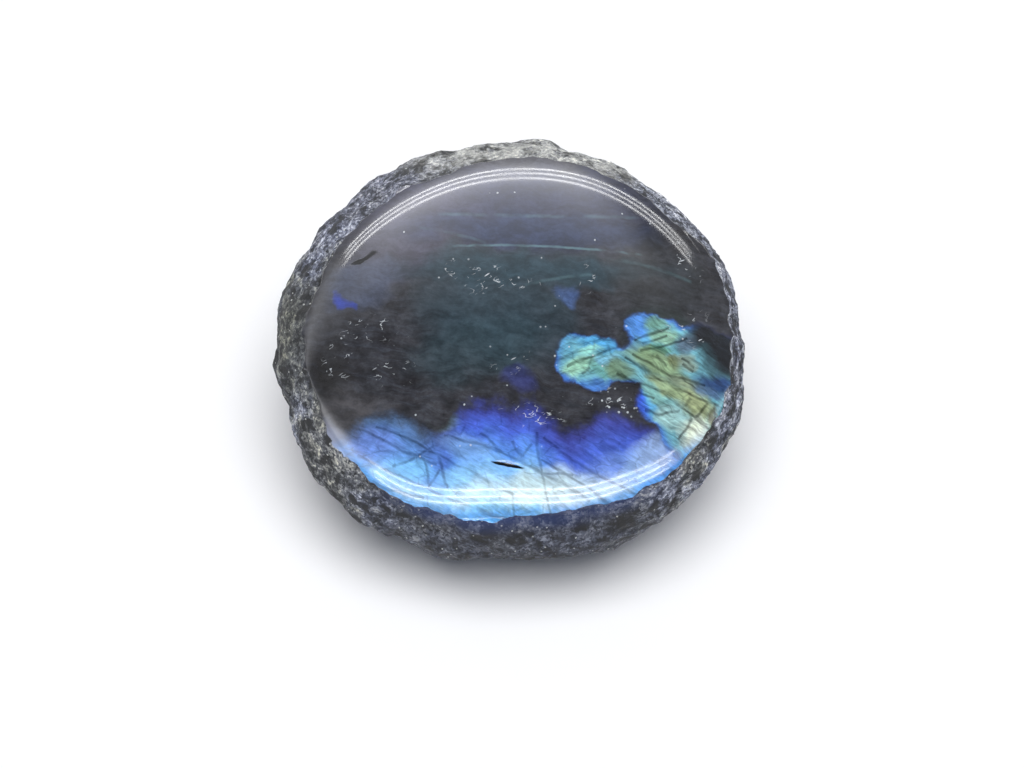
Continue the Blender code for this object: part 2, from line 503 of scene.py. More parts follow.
def lay_out(skin):
    """A map for baking: the face and wall as a disc, the belly as a strip, and the foot apart."""
    flat = skin.loops.layers.uv.new("OFBake")
    reach_of = skin.verts.layers.float["reach"]
    for face in skin.faces:
        reaches = [vert[reach_of] for vert in face.verts]
        on_foot = max(vert.co.z for vert in face.verts) < FLAT
        on_belly = sum(reaches) / len(reaches) > FACE_RISE + FLAT
        turns = [math.atan2(vert.co.y - LOWEST.y, vert.co.x) for vert in face.verts]
        over_seam = max(turns) - min(turns) > math.pi
        for loop, turn, reach in zip(face.loops, turns, reaches):
            place = loop.vert.co
            if on_foot:
                u = MAP_FOOT_X + place.x / MAP_FOOT_WIDTH
                v = MAP_FOOT_Y + (place.y - LOWEST.y) / MAP_FOOT_WIDTH
            elif on_belly:
                lap = turn + math.tau if over_seam and turn < 0 else turn
                u = 0.5 + MAP_STRIP_HALF_LENGTH * lap / math.pi
                v = MAP_STRIP_LOW + MAP_STRIP_HEIGHT * (reach / FACE_RISE - 1)
            else:
                across = LEAN.transposed() @ (place - GIRTH_MIDDLE)
                angle = math.atan2(across.y, across.x)
                radius = (outline_radius(POLISH_EDGE, angle) + reach) / MAP_DISC_WIDTH
                u = MAP_DISC_MIDDLE + radius * math.cos(angle)
                v = MAP_DISC_MIDDLE + radius * math.sin(angle)
            loop[flat].uv = (u, v)


print("the disc of the map is", MAP_DISC_WIDTH, "mm to a whole side")

# %% The stone's mesh


def make_stone():
    """The stone as one closed mesh, with two values at each point for its finish to read."""
    skin = bmesh.new()
    rings = FACE_RINGS + WALL_RINGS + BELLY_RINGS
    bmesh.ops.create_uvsphere(skin, u_segments=AROUND, v_segments=rings, radius=1)
    reach_of = skin.verts.layers.float.new("reach")
    broken_of = skin.verts.layers.float.new("broken")
    for vert in skin.verts:
        ring = round(math.acos(max(-1, min(1, vert.co.z))) / math.pi * rings)
        angle = round(math.atan2(vert.co.y, vert.co.x), 5)
        vert.co, vert[reach_of] = skin_point(angle, ring)
    bmesh.ops.recalc_face_normals(skin, faces=skin.faces)
    skin.normal_update()
    moves = []
    for vert in skin.verts:
        reach = vert[reach_of]
        if reach < WHOLE_POLISH:
            vert[broken_of] = -BROKEN_LIMIT
            depth = -slit(vert.co)
        else:
            polished = max(0, reach) * POLISH_RISE
            rough = relief(vert.co) + max(0, -reach) * POLISH_RISE
            vert[broken_of] = max(-BROKEN_LIMIT, min(BROKEN_LIMIT, polished - rough))
            depth = min(polished, rough)
        moves.append((vert, vert.normal * depth))
    for vert, move in moves:
        vert.co += move
    everything = skin.verts[:] + skin.edges[:] + skin.faces[:]
    cut = bmesh.ops.bisect_plane(
        skin, geom=everything, plane_co=(0, 0, 0), plane_no=(0, 0, -1), clear_outer=True
    )
    rim = [piece for piece in cut["geom_cut"] if isinstance(piece, bmesh.types.BMEdge)]
    bmesh.ops.holes_fill(skin, edges=rim, sides=0)
    bmesh.ops.recalc_face_normals(skin, faces=skin.faces)
    lay_out(skin)
    return skin


skin = make_stone()
low = [min(vert.co[axis] for vert in skin.verts) for axis in range(3)]
high = [max(vert.co[axis] for vert in skin.verts) for axis in range(3)]
node_low, node_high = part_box("stone")
SLIDE = Vector([(node_low[i] + node_high[i]) / MM / 2 - (low[i] + high[i]) / 2 for i in (0, 1)] + [0])
print("slid by", [round(step, 2) for step in SLIDE], "mm to stand where the CAD stone stands")
bmesh.ops.translate(skin, vec=SLIDE, verts=skin.verts)
bmesh.ops.scale(skin, vec=(MM, MM, MM), verts=skin.verts)
stone_mesh = bpy.data.meshes.new("labradorite_stone")
skin.to_mesh(stone_mesh)
skin.free()
stone_mesh.shade_smooth()
stone = bpy.data.objects.new("labradorite_stone", stone_mesh)
scene.collection.objects.link(stone)
print(len(stone_mesh.polygons), "faces")

# %% [markdown]
# ## Places on the stone
#
# A shader colours each point by where it is. The Object coordinates of the stone are turned and moved
# so that x and y run across the polished face and z stands off it, and are then read in millimetres.
# They belong to the stone, so its colours stay put when the camera or the stone moves.
#
# The middle and the unit below are those of the photograph, on which all the places further on were
# measured. On the face, a unit is a little less than a millimetre.

# %% Coordinates of the face
PATTERN_MIDDLE = Vector((0.79, -1.24, 0))
PATTERN_UNIT = 0.952
POLISH_IOR = 1.56

finish = bpy.data.materials.new("labradorite")
finish.use_nodes = True
tree = finish.node_tree
shader = tree.nodes["Principled BSDF"]
shader.inputs["IOR"].default_value = POLISH_IOR

on_stone = node(tree, "ShaderNodeTexCoord").outputs["Object"]
to_face = node(tree, "ShaderNodeMapping", vector_type="TEXTURE")
feed(tree, to_face.inputs["Vector"], on_stone)
to_face.inputs["Location"].default_value = (SLIDE + GIRTH_MIDDLE + LEAN @ PATTERN_MIDDLE) * MM
to_face.inputs["Rotation"].default_value = (math.radians(FACE_LEAN), 0, 0)
to_face.inputs["Scale"].default_value = Vector((PATTERN_UNIT, PATTERN_UNIT, PATTERN_UNIT)) * MM
face = to_face.outputs[0]
reach = node(tree, "ShaderNodeAttribute", attribute_name="reach").outputs["Fac"]
broken = node(tree, "ShaderNodeAttribute", attribute_name="broken").outputs["Fac"]
print("face middle at", [round(value / MM, 2) for value in to_face.inputs["Location"].default_value])

# %% [markdown]
# ## Textures and brushes
#
# Nothing in a stone is straight or even, so the places themselves are pushed about by noise before a
# shape is drawn on them: a little for cracks, more for clouds. There are two brushes, an oval patch
# and a thin line. Both work in plain numbers, x and y across the face, because a long chain of vector
# nodes can be more than Cycles has room for.

# %% Textures
FAR = 1.0e6


def vector_maths(operation, *values):
    """One Vector Math node."""
    made = node(tree, "ShaderNodeVectorMath", operation=operation)
    for socket, value in zip(made.inputs, values):
        feed(tree, socket, value)
    return made


def noise_at(places, size, detail=2.0, roughness=0.5, output="Fac"):
    """A Noise texture whose blotches are about this many millimetres across."""
    made = node(tree, "ShaderNodeTexNoise")
    feed(tree, made.inputs["Vector"], places)
    made.inputs["Scale"].default_value = 1 / size
    made.inputs["Detail"].default_value = detail
    made.inputs["Roughness"].default_value = roughness
    return made.outputs[output]


def stirred(places, size, amount, detail=1.0):
    """The same places pushed about at random, so that straight edges turn ragged."""
    push = vector_maths("SUBTRACT", noise_at(places, size, detail, output="Color"), (0.5, 0.5, 0.5))
    scaled = vector_maths("SCALE", push.outputs[0])
    scaled.inputs["Scale"].default_value = amount * 3
    return vector_maths("ADD", places, scaled.outputs[0]).outputs[0]


def stretched(places, turn, size):
    """Coordinates for a texture that is turned on the face and longer one way than the other."""
    made = node(tree, "ShaderNodeMapping", vector_type="TEXTURE")
    feed(tree, made.inputs["Vector"], places)
    made.inputs["Rotation"].default_value = (0, 0, math.radians(turn))
    made.inputs["Scale"].default_value = (*size, FAR)
    return made.outputs[0]


def split(vector):
    """The x, y and z of a vector."""
    made = node(tree, "ShaderNodeSeparateXYZ")
    feed(tree, made.inputs[0], vector)
    return made.outputs[0], made.outputs[1], made.outputs[2]


def cells_at(places, scale, feature="F1"):
    """A Voronoi texture with this many cells to the millimetre."""
    made = node(tree, "ShaderNodeTexVoronoi", feature=feature)
    feed(tree, made.inputs["Vector"], places)
    made.inputs["Scale"].default_value = scale
    return made


def random_of(cells):
    """Two random numbers of each cell of a Voronoi texture, read from the cell's colour."""
    made = node(tree, "ShaderNodeSeparateColor")
    feed(tree, made.inputs[0], cells.outputs["Color"])
    return made.outputs[0], made.outputs[1]


def brighter(colour, factor):
    """A colour with its brightness multiplied."""
    made = node(tree, "ShaderNodeHueSaturation")
    feed(tree, made.inputs["Value"], factor)
    feed(tree, made.inputs["Color"], colour)
    return made.outputs[0]


def times(first, second):
    """One number multiplied by another."""
    return maths(tree, "MULTIPLY", first, second)


def higher(first, second):
    """The higher of two numbers."""
    return maths(tree, "MAXIMUM", first, second)


print("textures ready")

# %% Brushes


def along(places, direction, start, unit):
    """How many units a place lies past a start, measured in one direction across the face."""
    x, y = places
    offset = -(start[0] * direction[0] + start[1] * direction[1]) / unit
    part = maths(tree, "MULTIPLY_ADD", y, direction[1] / unit, offset)
    return maths(tree, "MULTIPLY_ADD", x, direction[0] / unit, part)


def patch(places, middle, half, turn=0.0, core=0.3):
    """An oval that is 1 within its core and fades to 0 at its half sizes."""
    cos, sin = math.cos(math.radians(turn)), math.sin(math.radians(turn))
    lengthwise = along(places, (cos, sin), middle, half[0])
    crosswise = along(places, (-sin, cos), middle, half[1])
    squares = maths(tree, "MULTIPLY_ADD", lengthwise, lengthwise, times(crosswise, crosswise))
    return remap(tree, squares, 1, core**2)


def stroke(places, start, end, width, bow=0.0, ends=(0.0, 0.05)):
    """A thin line that may bow sideways: 1 on the line, and 0 beside it and past its ends."""
    run = (end[0] - start[0], end[1] - start[1])
    length = math.hypot(*run)
    cos, sin = run[0] / length, run[1] / length
    share = along(places, (cos, sin), start, length)
    arch = times(share, maths(tree, "SUBTRACT", 1, share))
    beside = maths(tree, "MULTIPLY_ADD", arch, -4 * bow, along(places, (-sin, cos), start, 1))
    line = remap(tree, maths(tree, "ABSOLUTE", beside), width, width * 0.1)
    return times(line, remap(tree, arch, *ends))


def painted(colour, paints, places, core=0.0):
    """Lays paints over a colour, each with its middle, half sizes, turn, own colour and share."""
    for middle, half, turn, paint_colour, share in paints:
        cover = times(patch(places, middle, half, turn, core), share)
        colour = mix(tree, cover, colour, paint_colour)
    return colour


flat_places = split(face)[:2]
face_y = flat_places[1]
wavy = stirred(face, 5.0, 1.1)
wavy_places = split(wavy)[:2]
ragged = stirred(wavy, 1.3, 0.42, 3.0)
ragged_places = split(ragged)[:2]
wobbly = stirred(face, 1.6, 0.12, 2.0)
wobbly_places = split(wobbly)[:2]
print(len(tree.nodes), "nodes before any paint")

# %% [markdown]
# ## The dark body
#
# Where the feldspar doesn't flash it is nearly black, with faint clouds. Each cloud is an oval patch
# with ragged edges: where it is, how large, how it is turned, its colour and how much of it shows.
# Last, an uneven grime of coarse and fine noise keeps any part of it from looking evenly painted.

# %% Clouds in the body
CLOUDS = (
    ((0, 25), (34, 12), 0, srgb(46, 52, 80), 0.8),
    ((0, 34), (34, 6), 0, srgb(96, 94, 96), 0.6),
    ((-17, 20), (17, 11), 25, srgb(74, 72, 92), 0.6),
    ((3, 18.5), (27, 4.2), -2, srgb(42, 56, 86), 0.75),
    ((3, 12.0), (30, 4.0), -1, srgb(38, 68, 80), 0.7),
    ((-2.5, 4.0), (18, 12), -15, srgb(52, 71, 81), 0.75),
    ((-6, -3), (15, 7), 10, srgb(52, 72, 80), 0.5),
    ((-25.5, 9.6), (8, 5.6), 20, srgb(70, 80, 104), 0.65),
    ((25, 9), (12, 9), -30, srgb(50, 54, 56), 0.55),
    ((9.3, 6.9), (3.2, 3.0), 0, srgb(66, 90, 136), 0.85),
    ((1.5, -7.3), (4.0, 3.4), -40, srgb(54, 60, 112), 0.75),
    ((-28.4, 6.4), (2.7, 1.2), -32, srgb(48, 68, 165), 0.85),
    ((-26.8, -13.2), (8, 5.4), 0, srgb(84, 82, 84), 0.55),
    ((-31, -6), (4.4, 8), 0, srgb(34, 33, 32), 0.7),
    ((28, -1.5), (12, 7), -20, srgb(48, 62, 60), 0.8),
)
cloudy_places = split(stirred(wavy, 7.0, 2.6, 4.0))[:2]
mottle = noise_at(face, 5.0, 5.0, 0.65)
fibres = noise_at(stretched(wavy, -10, (4.5, 0.9)), 1.0, 4.0, 0.65)
body = mix(tree, remap(tree, mottle, 0.30, 0.70), srgb(38, 37, 40), srgb(62, 63, 68))
body = mix(tree, times(remap(tree, fibres, 0.42, 0.75), 0.35), body, srgb(80, 86, 98))
body = painted(body, CLOUDS, cloudy_places)
coarse_grime = noise_at(stretched(wavy, -6, (5.0, 2.2)), 1.0, 6.0, 0.72)
coarse_grime = remap(tree, coarse_grime, 0.34, 0.66, 0.66, 1.26)
fine_grime = remap(tree, noise_at(face, 0.9, 3.0, 0.7), 0.3, 0.7, 0.88, 1.12)
body = brighter(body, times(coarse_grime, fine_grime))
print(len(CLOUDS), "clouds")

# %% [markdown]
# ## Edges of the layers
#
# The layers inside the stone lie nearly flat under the face, and the edges of some show as long faint
# lines across the dark body. Each is one bowed stroke, broken into dashes by a noise.

# %% Edges of the layers
LAYER_EDGES = (
    ((-11, 15.6), (23, 14.2), 0.34, 0.6, 0.34),
    ((-13, 21.6), (22, 21.2), 0.5, -0.4, 0.16),
    ((-16, 19.2), (-4, 16.0), 0.45, 0.3, 0.13),
    ((2, 8.6), (14, 10.6), 0.45, 0.3, 0.12),
    ((16, 13.6), (31, 9.8), 0.5, 0.5, 0.12),
)
dashes = remap(tree, noise_at(face, 4.0, 3.0), 0.32, 0.62)
for start, end, width, bow, share in LAYER_EDGES:
    line = times(stroke(wobbly_places, start, end, width, bow), share)
    body = mix(tree, times(line, dashes), body, srgb(132, 178, 186))
print(len(LAYER_EDGES), "layer edges")

# %% [markdown]
# ## The flash
#
# Light that enters the feldspar bounces between layers thinner than a hair and comes out coloured:
# thin layers give blue and thicker ones green and gold. The flash at the foot of the face goes from
# indigo at its ragged upper edge to pale azure at the edge of the polish, so one measure drives it:
# how many millimetres a point lies below that upper edge. The palest band, near the edge of the
# polish, is partly the flash and partly a painted reflection of the front light bars.

# %% The flash along the foot of the face
FLASH_TOP = (
    (-40, -17.5), (-30.1, -15.6), (-26.4, -13.1), (-22, -12), (-18.2, -13.1), (-14.4, -15),
    (-11.7, -15.4), (-9.6, -12.8), (-7.4, -10.8), (-3.6, -10.3), (0.7, -11.1), (3.4, -10),
    (6.1, -12.8), (9.4, -14.7), (12.1, -14.2), (14.8, -12.5), (18.6, -12.2), (21.3, -13.3),
    (24, -15), (30, -17), (40, -19),
)
SPAN = 80.0
FRINGE = 5.0
across, up = wavy_places
top_curve = node(tree, "ShaderNodeFloatCurve")
feed(tree, top_curve.inputs["Value"], maths(tree, "MULTIPLY_ADD", across, 1 / SPAN, 0.5))
points = top_curve.mapping.curves[0].points
for number, (u, v) in enumerate(FLASH_TOP):
    spot = points[number] if number < 2 else points.new(0, 0)
    spot.location = (u / SPAN + 0.5, v / SPAN + 0.5)
top_curve.mapping.update()
flash_top = maths(tree, "MULTIPLY_ADD", top_curve.outputs[0], SPAN, -SPAN / 2)
fringe = maths(tree, "MULTIPLY_ADD", noise_at(face, 2.4, 5.0, 0.68), FRINGE, -FRINGE / 2)
below = maths(tree, "ADD", maths(tree, "SUBTRACT", flash_top, up), fringe)
print(len(FLASH_TOP), "points along the top of the flash")

# %% [markdown]
# ## The hues along the foot
#
# The hues down the flash aren't the same all along it: paler and greyer at the left, and indigo for
# longer in one stretch on the right. Each stretch has its own ramp, and they are mixed from left to
# right. Small paints then set the brightest and the dullest areas.

# %% Hues of the flash along the foot
HUE_SPAN = 20.0
depth_share = maths(tree, "DIVIDE", below, HUE_SPAN)
# The pale stops near the end of each ramp are partly painted reflection of the front light bars.
main_hues = ramp(
    tree, depth_share,
    (0.00, srgb(46, 48, 88)), (0.13, srgb(58, 68, 156)), (0.29, srgb(66, 96, 200)),
    (0.46, srgb(90, 144, 228)), (0.62, srgb(138, 194, 244)), (0.80, srgb(190, 226, 246)),
    (0.92, srgb(150, 212, 246)),
)
long_indigo = times(remap(tree, across, 3, 10), remap(tree, across, 24, 17))
indigo_hues = ramp(
    tree, depth_share,
    (0.00, srgb(46, 48, 88)), (0.16, srgb(60, 68, 152)), (0.36, srgb(70, 96, 192)),
    (0.52, srgb(108, 140, 214)), (0.66, srgb(176, 204, 238)), (0.82, srgb(172, 212, 240)),
    (0.96, srgb(120, 180, 226)),
)
left_hues = ramp(
    tree, depth_share,
    (0.00, srgb(58, 68, 82)), (0.10, srgb(76, 102, 138)), (0.25, srgb(88, 128, 188)),
    (0.42, srgb(108, 162, 228)), (0.58, srgb(146, 200, 246)), (0.76, srgb(170, 214, 246)),
    (0.90, srgb(90, 172, 238)),
)
foot_colour = mix(tree, long_indigo, main_hues, indigo_hues)
foot_colour = mix(tree, remap(tree, across, -6, -17), foot_colour, left_hues)
# The pale paints at (5.5, -25.6) and (23.5, -20.5) lie along the mirrored front bars and are partly
# painted reflection.
FOOT_PAINTS = (
    ((-11.4, -15.0), (3.5, 2.2), 0, srgb(98, 124, 118), 0.6),
    ((-23.3, -18.2), (6.5, 3.6), -20, srgb(104, 128, 204), 0.6),
    ((-7.5, -19.3), (5.2, 3.0), -10, srgb(116, 156, 200), 0.65),
    ((-16.5, -22.8), (4.4, 2.4), -8, srgb(132, 200, 252), 0.8),
    ((-9.2, -24.0), (4.4, 2.4), 0, srgb(144, 206, 252), 0.75),
    ((5.5, -25.6), (10.5, 4.0), 4, srgb(204, 230, 232), 0.85),
    ((23.5, -20.5), (6.0, 4.4), 28, srgb(160, 190, 222), 0.7),
)
foot_colour = painted(foot_colour, FOOT_PAINTS, ragged_places)
foot_share = remap(tree, below, -0.8, 4.2)
print("3 ramps and", len(FOOT_PAINTS), "paints")

# %% [markdown]
# ## The flash on the right
#
# The flash on the right is a cloud of blots that run together. Each blot adds to one field, and the
# field's height decides both how much flash shows and its colour: blue along the rim of the cloud,
# then teal. Gold, pale and navy areas are laid over it; the palest, at the lower right, is partly a
# painted reflection of the front light bars.

# %% The flash on the right
BLOTS = (
    ((10.7, -3.6), (4.4, 5.0), 0), ((14.6, -2.8), (5.2, 3.8), 0), ((14.6, -6.6), (3.8, 3.0), 20),
    ((19.4, -5.0), (4.4, 3.2), -20), ((22.9, 1.0), (4.2, 3.8), -10), ((26.4, 0.0), (4.8, 4.2), -25),
    ((22.9, -4.6), (5.6, 4.6), -30), ((27.2, -6.0), (6.8, 6.0), -35), ((31.4, -9.4), (6.6, 6.4), -40),
    ((25.0, -11.1), (5.4, 4.4), -40), ((29.0, -15.0), (6.4, 6.0), -45), ((33.0, -16.0), (5.6, 7.4), 0),
    ((32.4, -2.6), (6.4, 6.6), 0), ((37.0, -6.0), (5.0, 9.0), 0),
)
# The pale paint at (31.4, -16.4) lies where the polish mirrors the front bars and is partly painted
# reflection.
PAINTS = (
    ((8.6, -1.4), (2.6, 2.6), 0, srgb(92, 158, 188), 0.7),
    ((14.8, -1.2), (5.0, 2.0), -4, srgb(84, 168, 220), 0.9),
    ((16.3, -3.7), (3.2, 1.0), 12, srgb(128, 194, 222), 0.85),
    ((11.4, -5.2), (4.0, 2.1), 18, srgb(158, 212, 184), 0.95),
    ((13.3, -2.5), (2.8, 0.9), 15, srgb(150, 214, 198), 0.8),
    ((9.0, -7.2), (1.9, 1.7), 0, srgb(62, 116, 206), 0.95),
    ((14.2, -8.4), (3.4, 1.7), 8, srgb(70, 122, 200), 0.9),
    ((15.8, -5.7), (3.4, 1.6), -10, srgb(98, 158, 150), 0.85),
    ((18.2, -5.4), (3.2, 2.2), -30, srgb(112, 140, 110), 0.9),
    ((21.6, 1.6), (2.5, 3.2), 0, srgb(84, 146, 228), 0.95),
    ((22.0, -1.4), (2.6, 1.1), 20, srgb(96, 170, 214), 0.85),
    ((24.9, 2.3), (2.2, 1.8), 0, srgb(114, 164, 146), 0.9),
    ((25.8, 0.0), (3.2, 1.6), 18, srgb(142, 188, 162), 0.95),
    ((23.9, -2.5), (3.8, 1.3), 8, srgb(94, 148, 120), 0.9),
    ((24.8, -4.7), (7.2, 2.5), -28, srgb(134, 160, 120), 0.95),
    ((27.5, -4.1), (2.2, 1.8), -20, srgb(114, 122, 82), 0.85),
    ((29.9, -3.9), (2.3, 1.7), -35, srgb(150, 160, 132), 0.7),
    ((29.9, -0.7), (2.8, 2.3), 0, srgb(98, 118, 140), 0.9),
    ((36.4, -1.6), (5.8, 6.8), 0, srgb(28, 33, 40), 1.0),
    ((33.0, 0.9), (4.4, 3.8), 0, srgb(34, 38, 44), 1.0),
    ((34.8, -7.4), (5.2, 2.2), -8, srgb(38, 64, 116), 0.95),
    ((33.0, -9.0), (4.0, 1.4), -10, srgb(82, 110, 148), 0.9),
    ((29.0, -7.6), (3.8, 1.5), -16, srgb(118, 132, 108), 0.9),
    ((30.8, -11.4), (5.8, 3.0), -33, srgb(170, 184, 138), 1.0),
    ((25.8, -8.5), (5.6, 1.8), -30, srgb(150, 172, 130), 0.95),
    ((23.8, -10.0), (5.0, 2.1), -33, srgb(124, 176, 170), 0.95),
    ((22.9, -11.6), (4.0, 1.5), -45, srgb(84, 158, 206), 0.9),
    ((20.6, -10.4), (4.4, 1.7), -53, srgb(56, 94, 214), 1.0),
    ((27.1, -14.0), (4.0, 3.0), -20, srgb(164, 206, 204), 0.95),
    ((31.4, -16.4), (4.2, 3.6), -35, srgb(218, 230, 208), 1.0),
    ((34.4, -13.2), (1.0, 2.8), 0, srgb(96, 96, 58), 0.85),
)
field = 0.0
for middle, half, turn in BLOTS:
    field = maths(tree, "ADD", patch(ragged_places, middle, half, turn, 0.0), field)
right_share = remap(tree, field, 0.10, 0.50)
right_colour = mix(tree, remap(tree, field, 0.35, 0.95), srgb(72, 122, 200), srgb(110, 172, 186))
right_colour = painted(right_colour, PAINTS, ragged_places, 0.25)
print(len(BLOTS), "blots,", len(PAINTS), "paints")

# %% [markdown]
# ## Plates
#
# The layers under the face are parted into small plates that lie at slightly different angles, so
# each flashes a little lighter or darker than the next. A stretched Voronoi pattern makes them: its
# cells give each plate its tone, and the distance to a cell's edge gives the faint seams.

# %% Plates
PLATE_STRETCH, PLATE_SCALE = (3.6, 1.5), 0.8
slanted = stretched(stirred(face, 4.0, 0.5), -24, PLATE_STRETCH)
plate_tone = random_of(cells_at(slanted, PLATE_SCALE))[0]
seams = cells_at(slanted, PLATE_SCALE, "DISTANCE_TO_EDGE").outputs["Distance"]
seam_lines = remap(tree, seams, 0.06, 0.0)
plate_seams = times(seam_lines, remap(tree, noise_at(face, 3.0), 0.42, 0.6))
streaks = noise_at(stretched(face, -28, (5.0, 0.5)), 1.0, 3.0, 0.6)
streaks = remap(tree, streaks, 0.3, 0.7, -0.14, 0.14)
plate_light = maths(tree, "ADD", remap(tree, plate_tone, 0, 1, 0.88, 1.08, "LINEAR"), streaks)
print("plates of about", [round(side / PLATE_SCALE, 1) for side in PLATE_STRETCH], "mm")

# %% [markdown]
# ## Healed cracks
#
# The flash is crossed by healed cracks, which show as thin dark lines because they break the layers.
# Their run is what makes this stone itself, so they are drawn one by one, each a short chain of
# strokes through pixels of the photograph. A slow noise and a finer one bend the strokes a little, so
# that no piece of a crack is quite straight.

# %% Cracks
PICTURE_MIDDLE_X, PICTURE_MIDDLE_Y = 511, 337
PIXELS_ACROSS, PIXELS_UP = 5.89, 5.76


def picture(x, y):
    """A place on the face from a pixel of the photograph."""
    return ((x - PICTURE_MIDDLE_X) / PIXELS_ACROSS, (PICTURE_MIDDLE_Y - y) / PIXELS_UP)


CRACKS = (
    ((377, 425), (413, 440), (453, 461), (495, 485), (513, 488)), ((352, 422), (395, 445), (437, 463)),
    ((443, 435), (487, 448), (503, 451)), ((480, 435), (503, 451), (537, 470), (572, 473)),
    ((522, 462), (553, 477), (588, 498)), ((543, 437), (570, 457), (637, 491)), ((540, 458), (613, 500)),
    ((358, 452), (392, 468), (443, 492), (500, 513)), ((360, 472), (390, 485), (425, 494)),
    ((395, 463), (417, 456)), ((427, 458), (431, 480)), ((440, 455), (442, 468), (448, 486)),
    ((440, 468), (430, 484)), ((418, 457), (434, 446)), ((537, 433), (538, 465), (551, 512)),
    ((512, 440), (522, 457), (533, 443)), ((513, 488), (515, 514)), ((475, 503), (512, 516)),
    ((621, 347), (594, 356), (565, 367)), ((588, 368), (580, 374)), ((636, 342), (668, 329)),
    ((643, 346), (667, 336)), ((640, 353), (662, 349), (686, 337)), ((632, 355), (667, 376), (701, 382)),
    ((623, 358), (656, 379), (695, 395), (718, 401)), ((616, 375), (650, 388), (684, 408), (709, 424)),
    ((626, 388), (653, 400)), ((645, 410), (657, 413), (678, 409)), ((690, 415), (679, 436)),
    ((690, 397), (685, 404)), ((706, 398), (693, 414)), ((712, 403), (715, 412), (710, 422)),
    ((656, 357), (666, 367)), ((680, 359), (693, 367)), ((681, 365), (692, 371)),
)
CRACK_WIDTH = 0.40
JOINED_ENDS = (-0.03, 0.0)
crack_places = split(stirred(stirred(face, 6.0, 0.6), 1.8, 0.16, 2.0))[:2]
cracks = 0.0
for line in CRACKS:
    corners = [picture(*pixel) for pixel in line]
    for start, end in zip(corners, corners[1:]):
        piece = stroke(crack_places, start, end, CRACK_WIDTH, 0.0, JOINED_ENDS)
        cracks = higher(piece, cracks)
cracks = times(cracks, remap(tree, noise_at(face, 2.6, 3.0), 0.35, 0.6, 0.6, 1.0))
print(len(CRACKS), "cracks")

# %% [markdown]
# ## Ribs
#
# The right flash is ribbed: soft dark bands slant down through the gold at the far right, and climb
# gently through the teal beside it. Each set is one stretched noise, and the sets give way to each
# other across a few millimetres.

# %% Ribs in the right flash
ribs = noise_at(stretched(stirred(face, 4.0, 0.9), -30, (6.0, 0.8)), 1.0, 5.0, 0.7)
fan_share = remap(tree, across, 15, 20)
rib_share = times(remap(tree, ribs, 0.42, 0.66), fan_share)
swirls = noise_at(stretched(stirred(face, 3.0, 0.7), 14, (4.5, 0.7)), 1.0, 4.0, 0.7)
swirl_share = times(remap(tree, swirls, 0.42, 0.68), maths(tree, "SUBTRACT", 1, fan_share))
rib_share = times(maths(tree, "ADD", rib_share, swirl_share), right_share)
print("ribs made")

# %% [markdown]
# ## The flash over the body
#
# Now the parts meet. The two flashes are mixed, then lightened and darkened by plates, cracks and
# ribs, and laid over the dark body. A bright blue hem follows the edge of the polish at the foot, and
# a milky veil covers the lower left.

# %% The flash over the body
CRACK_DARKENS, CRACK_DARKENS_MORE_RIGHT = -0.46, -0.22
SEAM_DARKENS = -0.26
RIB_DARKENS, BETWEEN_RIBS = -0.56, 1.12
HEM_SHARE, MILK_SHARE = 0.8, 0.6
flashing = higher(foot_share, right_share)
flash = mix(tree, right_share, foot_colour, right_colour)
hem_start = maths(tree, "SUBTRACT", reach, 1.2)
hem_reach = maths(tree, "MULTIPLY_ADD", noise_at(face, 1.6, 3.0), 2.4, hem_start)
hem = times(remap(tree, hem_reach, -2.2, -0.2), remap(tree, face_y, -14, -20))
flash = mix(tree, times(hem, HEM_SHARE), flash, srgb(66, 150, 226))
cloudy = noise_at(stretched(wavy, -15, (2.6, 1.4)), 1.0, 5.0, 0.68)
cloudy = remap(tree, cloudy, 0.32, 0.68, 0.74, 1.16)
flash = brighter(flash, times(plate_light, cloudy))
crack_depth = maths(tree, "MULTIPLY_ADD", right_share, CRACK_DARKENS_MORE_RIGHT, CRACK_DARKENS)
shade = maths(tree, "MULTIPLY_ADD", cracks, crack_depth, 1.0)
shade = times(shade, maths(tree, "MULTIPLY_ADD", plate_seams, SEAM_DARKENS, 1.0))
shade = times(shade, maths(tree, "MULTIPLY_ADD", rib_share, RIB_DARKENS, BETWEEN_RIBS))
flash = brighter(flash, shade)
milk = patch(wavy_places, (-31, -19.5), (5, 9), 35, 0.0)
polished_colour = mix(tree, flashing, body, flash)
polished_colour = mix(tree, times(milk, MILK_SHARE), polished_colour, srgb(186, 194, 220))
print(len(tree.nodes), "nodes so far")

# %% [markdown]
# ## Flecks, needles and the open slit
#
# White flecks and needles are tiny inclusions, so they are the small cores of a few Voronoi cells,
# picked by each cell's random colour, and stretched for the needles. The slit was dented into the
# mesh, and its floor is painted dark, because no light comes back from there. So is a shallow pit at
# the upper left.

# %% Flecks, needles and the slit
FLECK_CLUSTERS = (
    ((-5.8, 10.4), (5, 2), 5), ((-1.2, 8.4), (7, 1.6), 3), ((12.8, 9.5), (1.8, 3), 0),
    ((-9.4, 11.0), (4, 2), 0), ((-24, 1.5), (6, 3.2), 0), ((-29.5, -4), (3.6, 4), 0),
    ((-19.5, -6), (5, 2.6), 10), ((0, -5.4), (5, 2.4), 15), ((3, -13.4), (7.5, 2.2), -4),
    ((16.6, -10.8), (4.4, 3.0), -10), ((-28, -19), (3, 4), 30), ((29.5, 2.6), (5.5, 2.4), 25),
    ((31.5, -0.6), (2.0, 1.6), 0), ((30, 14), (3, 5), 30),
)
SLIT_PATTERN_MIDDLE, SLIT_PATTERN_HALF = (-0.6, -22.0), (3.2, 0.36)
PIT_PATTERN_MIDDLE, PIT_PATTERN_HALF = (-25.3, 14.3), (3.0, 0.75)
FLECK_SHARE = 0.9


